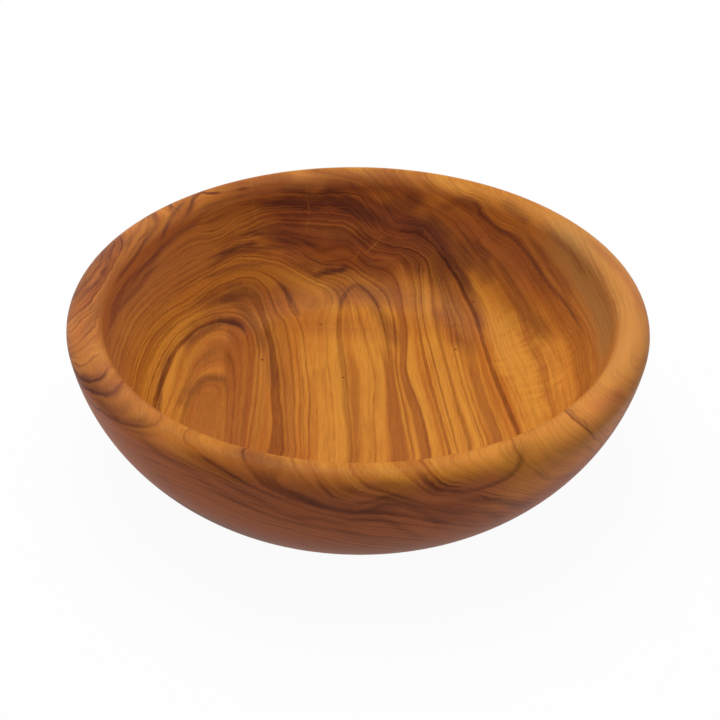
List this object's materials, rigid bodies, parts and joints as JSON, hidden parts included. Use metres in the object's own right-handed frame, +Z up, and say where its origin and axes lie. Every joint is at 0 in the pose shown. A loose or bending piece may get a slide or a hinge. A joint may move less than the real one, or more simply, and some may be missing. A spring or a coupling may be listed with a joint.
{
  "type": "dish",
  "caption": "Shallow round serving dish turned from solid olive wood, with a swept side, a thick full-round rim and a flat foot, for olives, nuts or dips.",
  "frame": {"origin": "centre of the flat foot, on the table", "axes": "+Z up along the axis that the dish is turned about; -Y towards the picture's viewer; +X to the viewer's right"},
  "size_m": [0.13, 0.13, 0.0355],
  "materials": {
    "olive_wood": "oiled satin"
  },
  "bodies": {
    "root": {"dish": "olive_wood"}
  },
  "joints": []
}
